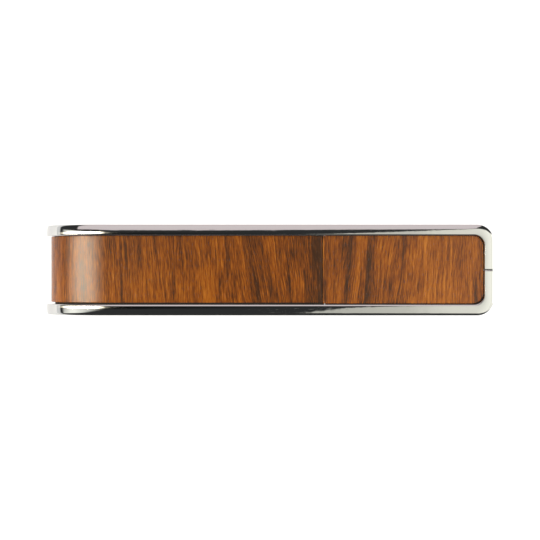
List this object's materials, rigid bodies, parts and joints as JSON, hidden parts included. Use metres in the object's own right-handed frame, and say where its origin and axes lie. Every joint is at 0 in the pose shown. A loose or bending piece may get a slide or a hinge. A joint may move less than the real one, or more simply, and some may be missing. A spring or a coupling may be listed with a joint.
{
  "type": "lever money clip",
  "caption": "Slim money clip: a chromed U-shaped bar loop with a fixed wood-faced panel and a wood-faced lever that carries a spring leaf.",
  "frame": {"origin": "under the middle of the clip's length and width, at the lowest plane of its back rails, as it lies on its back", "axes": "+X along the clip to its mouth, +Y across the clip, +Z out of the wood-faced front"},
  "size_m": [0.0636, 0.0126, 0.0127],
  "materials": {
    "polished_bar": "mirror polished chrome plate",
    "plate_steel": "fine brushed stainless sheet",
    "pin_steel": "ground stainless pin",
    "spring_steel": "bright rolled spring strip",
    "rivet_brass": "satin brass rivet",
    "lever_wood": "satin lacquered dark tropical hardwood veneer, grain across the clip",
    "panel_wood": "satin lacquered dark tropical hardwood veneer, grain across the clip"
  },
  "bodies": {
    "body": {"frame": "polished_bar", "front_panel": "plate_steel", "front_inlay": "panel_wood", "hinge_pin": "pin_steel", "stop_pin": "pin_steel", "panel_pin_1": "pin_steel", "panel_pin_2": "pin_steel", "heel_spring": "spring_steel", "heel_spring_rivet_1": "rivet_brass", "heel_spring_rivet_2": "rivet_brass"},
    "lever": {"lever_plate": "plate_steel", "lever_inlay": "lever_wood", "clamp_rivet_1": "rivet_brass", "clamp_rivet_2": "rivet_brass"},
    "clamp": {"clamp_leaf": "spring_steel"}
  },
  "joints": [
    {"name": "lever_hinge", "type": "hinge", "parent": "body", "child": "lever", "pos_m": [0.007, 0, 0.0109], "axis": [0, 1, 0], "range_deg": [0, 75], "deforming": ["heel_spring"]},
    {"name": "clamp_flex", "type": "hinge", "parent": "lever", "child": "clamp", "pos_m": [-0.015, 0, 0.01069], "axis": [0, 1, 0], "range_deg": [-13, 0], "stiffness_Nm_per_rad": 0.05, "deforming": ["clamp_leaf"]}
  ]
}
